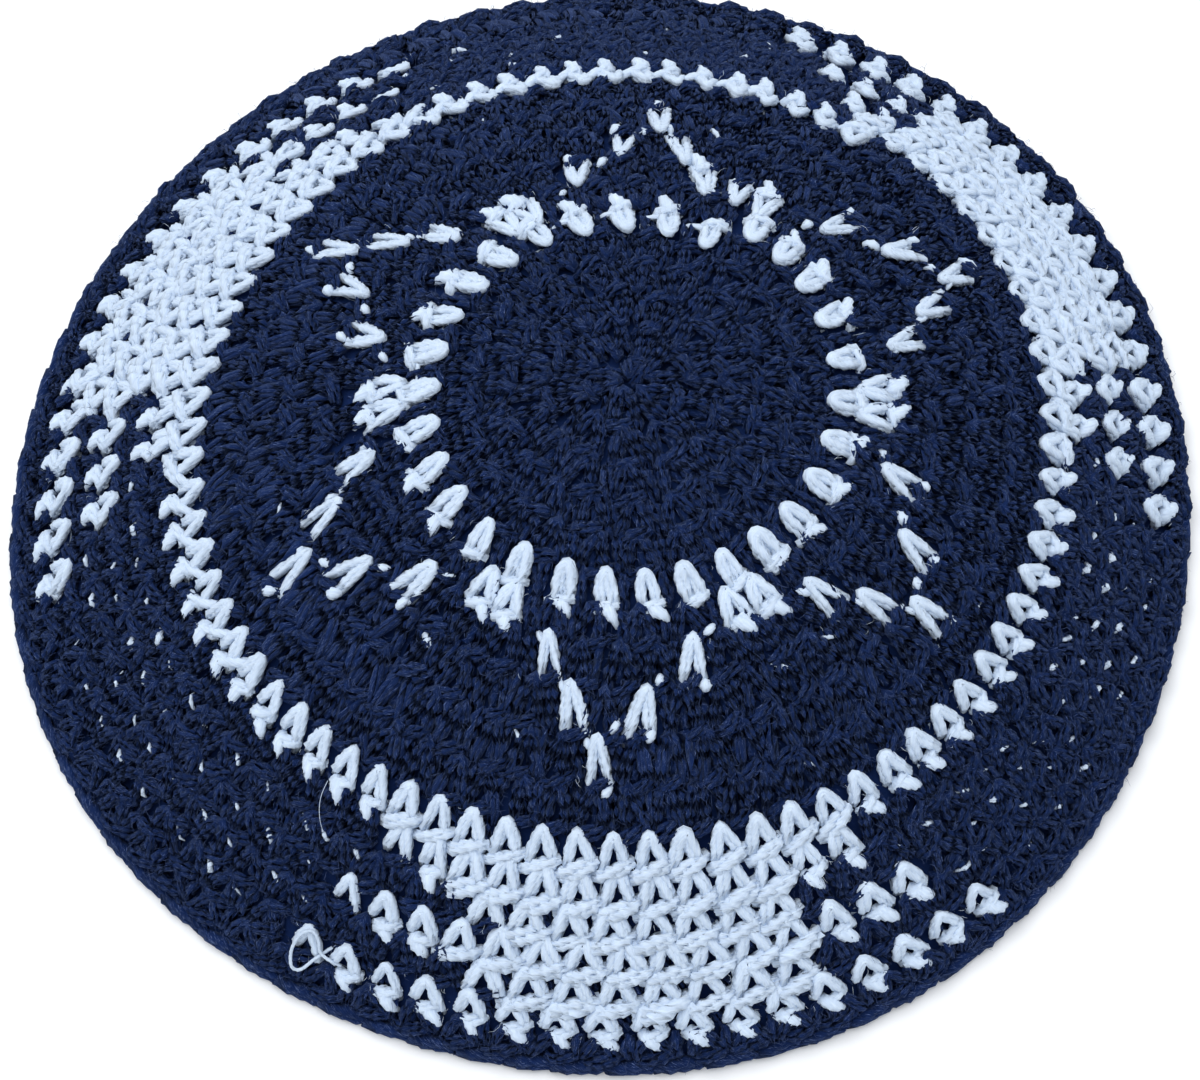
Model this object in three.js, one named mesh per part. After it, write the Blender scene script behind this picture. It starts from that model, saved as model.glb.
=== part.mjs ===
// A crocheted kippah skullcap, in millimetres, +Z up, resting on its rim at z = 0.
// The crown is one spiral of stitches, worked from the centre of the top out to the hem,
// so its ribs and grooves are one spiral too. A rope-like edging round closes the rim.
import * as THREE from "three";
import { mergeVertices } from "three/addons/utils/BufferGeometryUtils.js";

// Driving dimensions
const RIM_RADIUS = 85; // the cap's outside at the table
const CAP_HEIGHT = 39.5; // the top's centre above the table
const DOME_FULLNESS = 2.19; // 2 is a parabola, and more is flatter on top and steeper at the rim
const WALL = 2.6; // crocheted cloth, from the ribs outside to the ribs inside
const ROUND_PITCH = 5.0; // a middling round's height along the cloth
const OUTER_GROOVE = 0.9; // depth of the groove between two rounds, outside
const INNER_GROOVE = 0.5; // and inside
const TOP_LEAN = 5.3; // how far the worked centre lies from the middle of the rim
const TOP_LEAN_AZIMUTH = -5; // degrees from +X, and the side it leans to
const ROUND_START_AZIMUTH = 46.9; // degrees, where each round of the spiral begins
const EDGING_THICKNESS = 3.2; // the rope-like last round
const EDGING_FLAT = 0.3; // how far the edging is pressed flat where it rests
const EDGING_SCALLOP = 0.25; // how far each edging stitch stands out
const EDGING_STITCH_WIDTH = 6.85; // one edging stitch to the next, along the rim
const SEAT_GAP = 0.3; // between the hem and the edging

// The rounds, from the centre out: how many were worked at one height, and that height as a
// share of the pitch. The last height goes on to the hem.
const ROUND_ZONES = [
  { rounds: 8, height: 0.96 },
  { rounds: 5, height: 1.2 },
  { rounds: 5, height: 0.92 },
];

// The soft rim isn't a true circle. Each row is a wave that runs round it a number of times,
// with its height as a share of the rim's radius, along its cosine and along its sine.
const RIM_WAVES = [
  { times: 2, cosine: 0.0024, sine: 0.0 },
  { times: 3, cosine: -0.0066, sine: 0.0016 },
  { times: 4, cosine: -0.0004, sine: 0.0049 },
];

// How finely the surfaces are divided
const CROWN_SIDES = 48;
const ROWS_PER_ROUND = 2; // a groove, then a crest
const SIDES_PER_EDGING_STITCH = 2; // a notch, then a crest
const EDGING_SECTION_SIDES = 10;
const PROFILE_STEPS = 400;

const FULL_TURN = 2 * Math.PI;
const roundStart = THREE.MathUtils.degToRad(ROUND_START_AZIMUTH);
const leanAzimuth = THREE.MathUtils.degToRad(TOP_LEAN_AZIMUTH);
const edgingStitches = Math.round((FULL_TURN * RIM_RADIUS) / EDGING_STITCH_WIDTH);
const edgingRadius = EDGING_THICKNESS / 2;
const edgingHeight = edgingRadius - EDGING_FLAT; // the middle of the rope above the table
const domeRise = CAP_HEIGHT - edgingHeight;

// The dome's outside in a vertical plane: height above the table at a radius
function domeHeight(radius) {
  return edgingHeight + domeRise * (1 - (radius / RIM_RADIUS) ** DOME_FULLNESS);
}

// The dome's fall for each millimetre outwards, at a radius
function domeFall(radius) {
  const share = radius / RIM_RADIUS;
  return ((domeRise * DOME_FULLNESS) / RIM_RADIUS) * share ** (DOME_FULLNESS - 1);
}

// Length along the dome from the top's centre out to each of many radii
const lengths = [0];
for (let step = 1; step <= PROFILE_STEPS; step += 1) {
  const inner = (RIM_RADIUS * (step - 1)) / PROFILE_STEPS;
  const outer = (RIM_RADIUS * step) / PROFILE_STEPS;
  const slant = Math.hypot(outer - inner, domeHeight(inner) - domeHeight(outer));
  lengths.push(lengths[step - 1] + slant);
}
const domeLength = lengths[PROFILE_STEPS];

// The radius that lies a length along the dome from the top's centre
function radiusAt(length) {
  let step = 1;
  while (step < PROFILE_STEPS && lengths[step] < length) step += 1;
  const share = (length - lengths[step - 1]) / (lengths[step] - lengths[step - 1]);
  return (RIM_RADIUS * (step - 1 + share)) / PROFILE_STEPS;
}

// Places a point of the cap's upright section in space, with the rim's waves and the top's lean
function place(radius, height, azimuth) {
  let wave = 0;
  for (const { times, cosine, sine } of RIM_WAVES) {
    wave += cosine * Math.cos(times * azimuth) + sine * Math.sin(times * azimuth);
  }
  const waved = radius * (1 + (wave * radius) / RIM_RADIUS);
  const lean = (TOP_LEAN * Math.max(0, height - edgingHeight)) / domeRise;
  return new THREE.Vector3(
    waved * Math.cos(azimuth) + lean * Math.cos(leanAzimuth),
    waved * Math.sin(azimuth) + lean * Math.sin(leanAzimuth),
    height,
  );
}

// A point of the cloth: a length along the dome, and a depth below its outside
function clothPoint(length, depth, azimuth) {
  const radius = radiusAt(length);
  const fall = domeFall(radius);
  const slant = Math.hypot(1, fall);
  return place(radius - (depth * fall) / slant, domeHeight(radius) - depth / slant, azimuth);
}

// Gathers corners and faces, and leaves out faces that have shrunk to a line
class Skin {
  corners = [];
  addQuad(a, b, c, d) {
    this.addTriangle(a, b, c);
    this.addTriangle(a, c, d);
  }
  addTriangle(a, b, c) {
    const touching = 1e-6;
    if (a.distanceTo(b) < touching || b.distanceTo(c) < touching || c.distanceTo(a) < touching) return;
    for (const corner of [a, b, c]) this.corners.push(corner.x, corner.y, corner.z);
  }
  toGeometry() {
    const geometry = new THREE.BufferGeometry();
    geometry.setAttribute("position", new THREE.Float32BufferAttribute(this.corners, 3));
    const merged = mergeVertices(geometry, 1e-5);
    merged.computeVertexNormals();
    return merged;
  }
}

// The crown ends square to its wall, far enough up for the edging to sit below it
const rimSlant = Math.hypot(1, domeFall(RIM_RADIUS));
const edgingReach = edgingRadius * (1 + 1 / rimSlant) + SEAT_GAP;
const crownLength = domeLength - edgingReach;

// The length along the dome that a number of turns of the spiral has reached
function turnsLength(turns) {
  let length = 0;
  let left = turns;
  ROUND_ZONES.forEach(({ rounds, height }, zone) => {
    const isLast = zone === ROUND_ZONES.length - 1;
    const worked = isLast ? left : Math.min(left, rounds);
    length += worked * height * ROUND_PITCH;
    left -= worked;
  });
  return length;
}

// The length along the dome at a row and side of the spiral, held between the centre and the hem.
// A row that comes closer than a quarter row to either end is drawn onto it.
const rowPitch = ROUND_PITCH / ROWS_PER_ROUND;
function spiralLength(row, side) {
  const length = turnsLength(row / ROWS_PER_ROUND + side / CROWN_SIDES - 1);
  if (length < rowPitch / 4) return 0;
  if (length > crownLength - rowPitch / 4) return crownLength;
  return length;
}

// Grooves fade out at the centre and at the hem, where the cloth has its whole thickness
function grooveShare(row, length) {
  if (row % ROWS_PER_ROUND !== 0) return 0;
  return Math.min(1, length / rowPitch, (crownLength - length) / rowPitch);
}

function makeCrown() {
  const skin = new Skin();
  const outside = (row, side) => {
    const length = spiralLength(row, side);
    const azimuth = roundStart + (FULL_TURN * (side % CROWN_SIDES)) / CROWN_SIDES;
    return clothPoint(length, OUTER_GROOVE * grooveShare(row, length), azimuth);
  };
  const inside = (row, side) => {
    const length = spiralLength(row, side);
    const azimuth = roundStart + (FULL_TURN * (side % CROWN_SIDES)) / CROWN_SIDES;
    return clothPoint(length, WALL - INNER_GROOVE * grooveShare(row, length), azimuth);
  };
  let lastRow = 0;
  while (spiralLength(lastRow, 0) < crownLength) lastRow += 1;
  for (let side = 0; side < CROWN_SIDES; side += 1) {
    for (let row = 0; row < lastRow; row += 1) {
      skin.addQuad(
        outside(row, side),
        outside(row + 1, side),
        outside(row + 1, side + 1),
        outside(row, side + 1),
      );
      skin.addQuad(
        inside(row, side),
        inside(row, side + 1),
        inside(row + 1, side + 1),
        inside(row + 1, side),
      );
    }
    skin.addQuad(
      outside(lastRow, side),
      inside(lastRow, side),
      inside(lastRow, side + 1),
      outside(lastRow, side + 1),
    );
  }
  return skin.toGeometry();
}

// The edging is a rope round the rim, flat underneath, with its stitches standing out
function makeEdging() {
  const skin = new Skin();
  const sides = edgingStitches * SIDES_PER_EDGING_STITCH;
  const sectionStart = -FULL_TURN / 4 - FULL_TURN / EDGING_SECTION_SIDES / 2;
  const point = (side, corner) => {
    const turned = side % sides;
    const angle = sectionStart + (FULL_TURN * (corner % EDGING_SECTION_SIDES)) / EDGING_SECTION_SIDES;
    const crest = (turned % SIDES_PER_EDGING_STITCH) / (SIDES_PER_EDGING_STITCH - 1);
    const outwards = edgingRadius + EDGING_SCALLOP * crest * Math.max(0, Math.cos(angle));
    const radius = RIM_RADIUS - edgingRadius + outwards * Math.cos(angle);
    const height = Math.max(0, edgingHeight + edgingRadius * Math.sin(angle));
    return place(radius, height, roundStart + (FULL_TURN * turned) / sides);
  };
  for (let side = 0; side < sides; side += 1) {
    for (let corner = 0; corner < EDGING_SECTION_SIDES; corner += 1) {
      skin.addQuad(
        point(side, corner),
        point(side + 1, corner),
        point(side + 1, corner + 1),
        point(side, corner + 1),
      );
    }
  }
  return skin.toGeometry();
}

const navyYarn = { color: 0x18253f, roughness: 0.92, metalness: 0 };

const crown = new THREE.Mesh(makeCrown(), new THREE.MeshStandardMaterial(navyYarn));
crown.name = "crown";

const edging = new THREE.Mesh(makeEdging(), new THREE.MeshStandardMaterial(navyYarn));
edging.name = "edging";

const kippah = new THREE.Group();
kippah.add(crown, edging);

// The origin is under the middle of the cap's box
const box = new THREE.Box3().setFromObject(kippah);
const middle = box.getCenter(new THREE.Vector3());
kippah.position.set(-middle.x, -middle.y, -box.min.z);

export default kippah;
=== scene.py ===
# %% [markdown]
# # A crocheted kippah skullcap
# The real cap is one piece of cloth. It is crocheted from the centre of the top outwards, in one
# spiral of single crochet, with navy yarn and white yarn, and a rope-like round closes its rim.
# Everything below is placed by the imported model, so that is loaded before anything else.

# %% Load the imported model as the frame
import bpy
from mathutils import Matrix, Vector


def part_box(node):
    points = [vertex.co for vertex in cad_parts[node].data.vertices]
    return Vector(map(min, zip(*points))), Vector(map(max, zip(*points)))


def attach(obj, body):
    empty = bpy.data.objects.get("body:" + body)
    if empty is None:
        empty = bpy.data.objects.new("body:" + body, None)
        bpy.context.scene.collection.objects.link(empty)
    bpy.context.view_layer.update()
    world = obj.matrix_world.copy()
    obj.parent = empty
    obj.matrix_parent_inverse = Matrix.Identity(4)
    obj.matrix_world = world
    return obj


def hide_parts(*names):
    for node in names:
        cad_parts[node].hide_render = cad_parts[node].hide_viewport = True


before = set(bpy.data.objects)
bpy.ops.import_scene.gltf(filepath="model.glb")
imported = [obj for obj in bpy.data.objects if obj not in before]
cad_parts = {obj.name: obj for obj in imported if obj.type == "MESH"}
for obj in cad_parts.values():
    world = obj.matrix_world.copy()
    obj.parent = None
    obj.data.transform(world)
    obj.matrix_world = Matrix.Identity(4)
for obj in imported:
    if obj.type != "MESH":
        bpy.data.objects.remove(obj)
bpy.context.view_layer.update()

# %% Tools and units
import math

import bmesh
import bpy
import numpy as np
from mathutils import Matrix, Vector

MM = 0.001  # all sizes below are in millimetres, and meshes are in metres
FULL_TURN = 2 * math.pi
chance = np.random.default_rng(36)

# %% [markdown]
# ## The shape of the cloth
# The cap rests on its rim and keeps a shallow dome. Every stitch lies on that dome, so the
# script first needs one rule that turns a place in the cloth into a place in space. A place in
# the cloth is a length from the centre of the top, an angle round it and a lift off its outside.
# The sizes are those of the solid model. Bending a flat pattern with a modifier would be
# another way, but a direct rule puts each strand exactly where the solid's wall is.

# %% Sizes of the dome
RIM_RADIUS = 85.0
CAP_HEIGHT = 39.5
DOME_FULLNESS = 2.19
EDGING_RADIUS = 1.6
EDGING_HEIGHT = 1.3
DOME_RISE = CAP_HEIGHT - EDGING_HEIGHT
TOP_LEAN = 5.3
TOP_LEAN_AZIMUTH = math.radians(-5)
ROUND_START = math.radians(46.9)
RIM_WAVES = (  # how many times round, and the share of the radius along cosine and sine
    (2, 0.0024, 0.0),
    (3, -0.0066, 0.0016),
    (4, -0.0004, 0.0049),
)


def dome_height(radius):
    return EDGING_HEIGHT + DOME_RISE * (1 - (radius / RIM_RADIUS) ** DOME_FULLNESS)


def dome_fall(radius):
    return DOME_RISE * DOME_FULLNESS / RIM_RADIUS * (radius / RIM_RADIUS) ** (DOME_FULLNESS - 1)


profile_radii = np.linspace(0, RIM_RADIUS, 401)
profile_steps = np.hypot(np.diff(profile_radii), np.diff(dome_height(profile_radii)))
profile_lengths = np.concatenate([[0], np.cumsum(profile_steps)])
print("length of the cloth from centre to rim, mm:", round(profile_lengths[-1], 1))


# %% From the cloth to space
def place(radius, height, azimuth):
    """A point in the solid model's own axes, with the rim's waves and the lean of the top."""
    wave = sum(c * np.cos(n * azimuth) + s * np.sin(n * azimuth) for n, c, s in RIM_WAVES)
    waved = radius * (1 + wave * radius / RIM_RADIUS)
    lean = TOP_LEAN * np.maximum(0, height - EDGING_HEIGHT) / DOME_RISE
    x = waved * np.cos(azimuth) + lean * math.cos(TOP_LEAN_AZIMUTH)
    y = waved * np.sin(azimuth) + lean * math.sin(TOP_LEAN_AZIMUTH)
    return np.stack(np.broadcast_arrays(x, y, height), -1)


def box_middle(low, high):
    return (np.array(low)[:2] + np.array(high)[:2]) / 2


rim_line = place(np.full(720, RIM_RADIUS), EDGING_HEIGHT, np.linspace(0, FULL_TURN, 720))
edging_box = np.array([tuple(corner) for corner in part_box("edging")]) / MM
cap_shift = np.append(box_middle(*edging_box) - box_middle(rim_line.min(0), rim_line.max(0)), 0)


def radius_at(length):
    return np.interp(length, profile_lengths, profile_radii)


def cloth_point(length, azimuth, lift):
    """Millimetres in the frame, for a length from the centre, an angle and a lift."""
    radius = radius_at(np.maximum(length, 0))
    fall = dome_fall(radius)
    slant = np.hypot(1, fall)
    out = place(radius + lift * fall / slant, dome_height(radius) + lift / slant, azimuth)
    return out + cap_shift


print("the cap's middle lies at", cap_shift.round(2), "mm")

# %% [markdown]
# ## Camera
# The photograph was taken from in front of the cap and well above it, with the picture turned a
# little. The camera's place came from matching the outline, the two white rings and the centre
# of the top with the dome above. It is made by hand from three directions, because the picture
# isn't level, and a constraint that keeps the camera upright couldn't give that.

# %% Camera
CAMERA_ELEVATION = math.radians(65.58)
CAMERA_ROLL = math.radians(-6.51)
CAMERA_DISTANCE = 6 * RIM_RADIUS
PIXELS_PER_RADIUS = 590.2  # of the 1200 pixels across the picture
AIM_BELOW_RIM_CENTRE = 37.8  # pixels
PICTURE_WIDTH = 1200
SENSOR = 36.0

rim_centre = Vector((*cap_shift[:2], EDGING_HEIGHT))
back = Vector((0, -math.cos(CAMERA_ELEVATION), math.sin(CAMERA_ELEVATION)))
level_up = Vector((0, math.sin(CAMERA_ELEVATION), math.cos(CAMERA_ELEVATION)))
picture_up = level_up * math.cos(CAMERA_ROLL) - Vector((1, 0, 0)) * math.sin(CAMERA_ROLL)
spot = rim_centre + back * CAMERA_DISTANCE
aim = rim_centre - picture_up * (AIM_BELOW_RIM_CENTRE / PIXELS_PER_RADIUS * RIM_RADIUS)
back = (spot - aim).normalized()
picture_up = (picture_up - back * picture_up.dot(back)).normalized()
picture_right = picture_up.cross(back)

camera_data = bpy.data.cameras.new("camera")
camera_data.sensor_width = SENSOR
camera_data.lens = PIXELS_PER_RADIUS * CAMERA_DISTANCE / RIM_RADIUS * SENSOR / PICTURE_WIDTH
camera_data.clip_start = 0.01
camera_data.clip_end = 10
camera = bpy.data.objects.new("camera", camera_data)
bpy.context.scene.collection.objects.link(camera)
turn = Matrix((picture_right, picture_up, back)).transposed()
camera.matrix_world = Matrix.Translation(spot * MM) @ turn.to_4x4()
bpy.context.scene.camera = camera
print("lens", round(camera_data.lens, 1), "mm, camera", [round(c, 3) for c in camera.location])

# %% [markdown]
# ## Floor and light
# The photograph has an even white ground and soft light from all round, with the deepest places
# between the stitches left dark. A white floor, a pale sky and one broad lamp overhead give
# that.


# %% Helpers for node trees
def add_node(tree, kind, settings=(), **inputs):
    """A node with its settings, and its inputs named with underscores for spaces."""
    made = tree.nodes.new(kind)
    for key, value in dict(settings).items():
        setattr(made, key, value)
    for key, value in inputs.items():
        socket = made.inputs[key.replace("_", " ")]
        if isinstance(value, bpy.types.NodeSocket):
            tree.links.new(value, socket)
        else:
            socket.default_value = value
    return made


def new_material(name):
    material = bpy.data.materials.new(name)
    material.use_nodes = True
    tree = material.node_tree
    return material, tree, tree.nodes["Principled BSDF"]


# %% Floor, sky and lamp
FLOOR_SIDE = 3.0
FLOOR_WHITE = (0.93, 0.94, 0.96, 1)
floor_material, tree, shader = new_material("floor_paper")
spot_place = add_node(tree, "ShaderNodeTexCoord").outputs["Object"]
paper = add_node(tree, "ShaderNodeTexNoise", Vector=spot_place, Scale=9.0, Detail=3.0).outputs["Fac"]
paper_range = add_node(tree, "ShaderNodeMapRange", Value=paper, To_Min=0.985, To_Max=1.0)
paper_colour = add_node(
    tree, "ShaderNodeVectorMath", {"operation": "SCALE"}, Vector=FLOOR_WHITE[:3],
    Scale=paper_range.outputs["Result"],
)
tree.links.new(paper_colour.outputs["Vector"], shader.inputs["Base Color"])
shader.inputs["Roughness"].default_value = 0.95
shader.inputs["Specular IOR Level"].default_value = 0.1

floor_mesh = bpy.data.meshes.new("floor")
bm = bmesh.new()
bmesh.ops.create_grid(bm, x_segments=1, y_segments=1, size=FLOOR_SIDE / 2)
bm.to_mesh(floor_mesh)
bm.free()
floor_mesh.materials.append(floor_material)
floor = bpy.data.objects.new("floor", floor_mesh)
bpy.context.scene.collection.objects.link(floor)

world = bpy.data.worlds.new("studio")
world.use_nodes = True
world.node_tree.nodes["Background"].inputs["Color"].default_value = (0.95, 0.98, 1.0, 1)
world.node_tree.nodes["Background"].inputs["Strength"].default_value = 0.9
bpy.context.scene.world = world
bpy.context.scene.view_settings.view_transform = "Standard"

LAMPS = (  # name, side in metres, watts, place in metres
    ("overhead_lamp", 0.9, 6.4, (-0.14, 0.16, 1.0)),
)
for name, side, watts, spot in LAMPS:
    lamp_data = bpy.data.lights.new(name, "AREA")
    lamp_data.size = side
    lamp_data.energy = watts
    lamp = bpy.data.objects.new(name, lamp_data)
    lamp.location = spot
    lamp.rotation_mode = "QUATERNION"
    lamp.rotation_quaternion = Vector(spot).to_track_quat("Z", "Y")
    bpy.context.scene.collection.objects.link(lamp)
print("lamps", [row[0] for row in LAMPS])

# %% [markdown]
# ## The yarn's finish
# The yarn is soft cotton of a few plies, twisted together. Each strand below carries two
# attributes of its own for that. "ring" is the direction from the strand's middle to a point of
# its surface, and it turns with the plies, and "along" is the length along the strand in
# millimetres. Noise that is stretched along the strand then follows the plies as fibres do, with
# no seam. A picture of yarn would be quicker, but it would slide and repeat. Both colours use
# the same fibres, so the effect is one node group.

# %% Fibres of the yarn, as a node group
THREADS = 5


def make_fibre_group():
    group = bpy.data.node_groups.new("yarn_fibres", "ShaderNodeTree")
    for name, kind in (
        ("Ring", "NodeSocketVector"), ("Along", "NodeSocketFloat"), ("Seed", "NodeSocketFloat"),
        ("Fibre Fineness", "NodeSocketFloat"), ("Fibre Stretch", "NodeSocketFloat"),
    ):
        group.interface.new_socket(name, in_out="INPUT", socket_type=kind)
    for name in ("Groove", "Fibre", "Fleck", "Strand", "Height"):
        group.interface.new_socket(name, in_out="OUTPUT", socket_type="NodeSocketFloat")
    given = add_node(group, "NodeGroupInput").outputs
    result = add_node(group, "NodeGroupOutput")

    def maths(operation, a, b=0.0, clamp=False):
        made = add_node(group, "ShaderNodeMath", {"operation": operation, "use_clamp": clamp})
        for socket, value in zip(made.inputs, (a, b)):
            if isinstance(value, bpy.types.NodeSocket):
                group.links.new(value, socket)
            else:
                socket.default_value = value
        return made.outputs["Value"]

    around = add_node(group, "ShaderNodeVectorMath", {"operation": "NORMALIZE"}, Vector=given["Ring"])
    parts = add_node(group, "ShaderNodeSeparateXYZ", Vector=around.outputs["Vector"]).outputs
    angle = maths("ARCTAN2", parts["Y"], parts["X"])
    crest = maths("COSINE", maths("MULTIPLY", angle, THREADS))
    # where the grooves between the threads lie; the yarn materials paint shade there, and the bump sinks them
    groove_level = add_node(group, "ShaderNodeMapRange", Value=crest, From_Min=-1.0, From_Max=-0.3,
                            To_Min=1.0, To_Max=0.0).outputs["Result"]

    shift = maths("MULTIPLY", given["Seed"], 37.0)
    slow = maths("ADD", maths("MULTIPLY", given["Along"], given["Fibre Stretch"]), shift)

    def fibres(fineness_factor, along_factor):
        x = maths("MULTIPLY", parts["X"], maths("MULTIPLY", given["Fibre Fineness"], fineness_factor))
        y = maths("MULTIPLY", parts["Y"], maths("MULTIPLY", given["Fibre Fineness"], fineness_factor))
        z = maths("MULTIPLY", slow, along_factor)
        where = add_node(group, "ShaderNodeCombineXYZ", X=x, Y=y, Z=z).outputs["Vector"]
        return add_node(group, "ShaderNodeTexNoise", Vector=where, Scale=1.0, Detail=2.0,
                        Roughness=0.6).outputs["Fac"]

    fibre = fibres(1.0, 1.0)
    fleck = add_node(group, "ShaderNodeMapRange", Value=fibres(2.6, 0.9), From_Min=0.62,
                     From_Max=0.68).outputs["Result"]
    strand = add_node(group, "ShaderNodeTexWhiteNoise", {"noise_dimensions": "1D"}, W=given["Seed"])
    height = maths("ADD", maths("MULTIPLY", groove_level, -0.2), fibre)
    for name, value in (("Groove", groove_level), ("Fibre", fibre), ("Fleck", fleck),
                        ("Strand", strand.outputs["Value"]), ("Height", height)):
        group.links.new(value, result.inputs[name])
    return group


fibre_group = make_fibre_group()
print("group", fibre_group.name, "outputs", [s.name for s in fibre_group.interface.items_tree])

# %% Navy yarn and white yarn
YARNS = {  # painted shade in the grooves between the plies, body colour, colour of lit fibres, flecks, and how the strands differ
    "navy_yarn": dict(painted_groove_shade=(0.0042, 0.0114, 0.052), body=(0.0045, 0.0130, 0.0565),
                      lit=(0.0088, 0.0218, 0.084), fleck=(0.160, 0.220, 0.42), fleck_share=0.9,
                      uneven=(0.82, 1.2), specular=0.02, sheen=0.14, sheen_tint=(0.35, 0.5, 0.95, 1)),
    "white_yarn": dict(painted_groove_shade=(0.41, 0.50, 0.71), body=(0.550, 0.658, 0.818),
                       lit=(0.625, 0.730, 0.870), fleck=(0.72, 0.83, 0.94), fleck_share=0.3,
                       uneven=(0.95, 1.02), specular=0.10, sheen=0.06, sheen_tint=(0.9, 0.95, 1.0, 1)),
}
FIBRE_FINENESS = 4.5
FIBRE_STRETCH = 1.3
BUMP_DEPTH = 0.12


def make_yarn(name, painted_groove_shade, body, lit, fleck, fleck_share, uneven, specular, sheen, sheen_tint):
    material, tree, shader = new_material(name)

    def attribute(name, output):
        return add_node(tree, "ShaderNodeAttribute", {"attribute_name": name}).outputs[output]

    fibres = add_node(
        tree, "ShaderNodeGroup", {"node_tree": fibre_group}, Ring=attribute("ring", "Vector"),
        Along=attribute("along", "Fac"), Seed=attribute("seed", "Fac"),
        Fibre_Fineness=FIBRE_FINENESS, Fibre_Stretch=FIBRE_STRETCH,
    ).outputs

    def mix(factor, a, b):
        made = add_node(tree, "ShaderNodeMix", {"data_type": "RGBA"})
        for index, value in ((0, factor), (6, a), (7, b)):
            if isinstance(value, bpy.types.NodeSocket):
                tree.links.new(value, made.inputs[index])
            else:
                made.inputs[index].default_value = value if index == 0 else (*value, 1)
        return made.outputs[2]

    lively = add_node(tree, "ShaderNodeMapRange", Value=fibres["Fibre"], From_Min=0.40, From_Max=0.62)
    coloured = mix(lively.outputs["Result"], body, lit)
    # painted shade: in the grooves between the plies the colour is darkened towards the groove shade colour
    painted_shade_share = add_node(tree, "ShaderNodeMath", {"operation": "MULTIPLY"})
    tree.links.new(fibres["Groove"], painted_shade_share.inputs[0])
    painted_shade_share.inputs[1].default_value = 0.22
    shaded = mix(painted_shade_share.outputs["Value"], coloured, painted_groove_shade)
    share = add_node(tree, "ShaderNodeMath", {"operation": "MULTIPLY"})
    tree.links.new(fibres["Fleck"], share.inputs[0])
    share.inputs[1].default_value = fleck_share
    flecked = mix(share.outputs["Value"], shaded, fleck)
    strand_level = add_node(tree, "ShaderNodeMapRange", Value=fibres["Strand"], To_Min=uneven[0],
                            To_Max=uneven[1])
    varied = add_node(tree, "ShaderNodeVectorMath", {"operation": "SCALE"}, Vector=flecked,
                      Scale=strand_level.outputs["Result"])
    tree.links.new(varied.outputs["Vector"], shader.inputs["Base Color"])
    rough = add_node(tree, "ShaderNodeMapRange", Value=fibres["Fibre"], To_Min=0.95, To_Max=0.7)
    tree.links.new(rough.outputs["Result"], shader.inputs["Roughness"])
    bump = add_node(tree, "ShaderNodeBump", Strength=0.7, Distance=BUMP_DEPTH * MM, Height=fibres["Height"])
    tree.links.new(bump.outputs["Normal"], shader.inputs["Normal"])
    shader.inputs["Specular IOR Level"].default_value = specular
    shader.inputs["Sheen Weight"].default_value = sheen
    shader.inputs["Sheen Roughness"].default_value = 0.5
    shader.inputs["Sheen Tint"].default_value = sheen_tint
    return material


materials = {name: make_yarn(name, **finish) for name, finish in YARNS.items()}


def make_fuzz(name, dim, bright):
    material, tree, shader = new_material(name)
    seed = add_node(tree, "ShaderNodeAttribute", {"attribute_name": "seed"}).outputs["Fac"]
    spread = add_node(tree, "ShaderNodeTexWhiteNoise", {"noise_dimensions": "1D"}, W=seed).outputs["Value"]
    colour = add_node(tree, "ShaderNodeMix", {"data_type": "RGBA"})
    tree.links.new(spread, colour.inputs[0])
    colour.inputs[6].default_value = (*dim, 1)
    colour.inputs[7].default_value = (*bright, 1)
    tree.links.new(colour.outputs[2], shader.inputs["Base Color"])
    shader.inputs["Roughness"].default_value = 0.6
    shader.inputs["Specular IOR Level"].default_value = 0.1
    return material


materials["navy_fuzz"] = make_fuzz("navy_fuzz", (0.010, 0.020, 0.070), (0.085, 0.125, 0.27))
materials["white_fuzz"] = make_fuzz("white_fuzz", (0.60, 0.72, 0.88), (0.80, 0.90, 1.0))
print("materials", sorted(materials))

# %% [markdown]
# ## Strands of yarn
# Each stitch shows a few short stretches of yarn. A stretch is drawn as a curve through a
# handful of points, each with a thickness, and Geometry Nodes give it a round section of three
# plies that turn along it. Curve objects with a bevel could do the same, but they couldn't
# carry the fibres' own attributes. All the stretches of one piece go through the nodes together
# and are kept as one mesh, because there are thousands of them.

# %% Turn strand paths into a mesh
SECTION_SIDES = 6
PLY_GROOVE = 0.05  # how much nearer the middle every other side is


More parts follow.
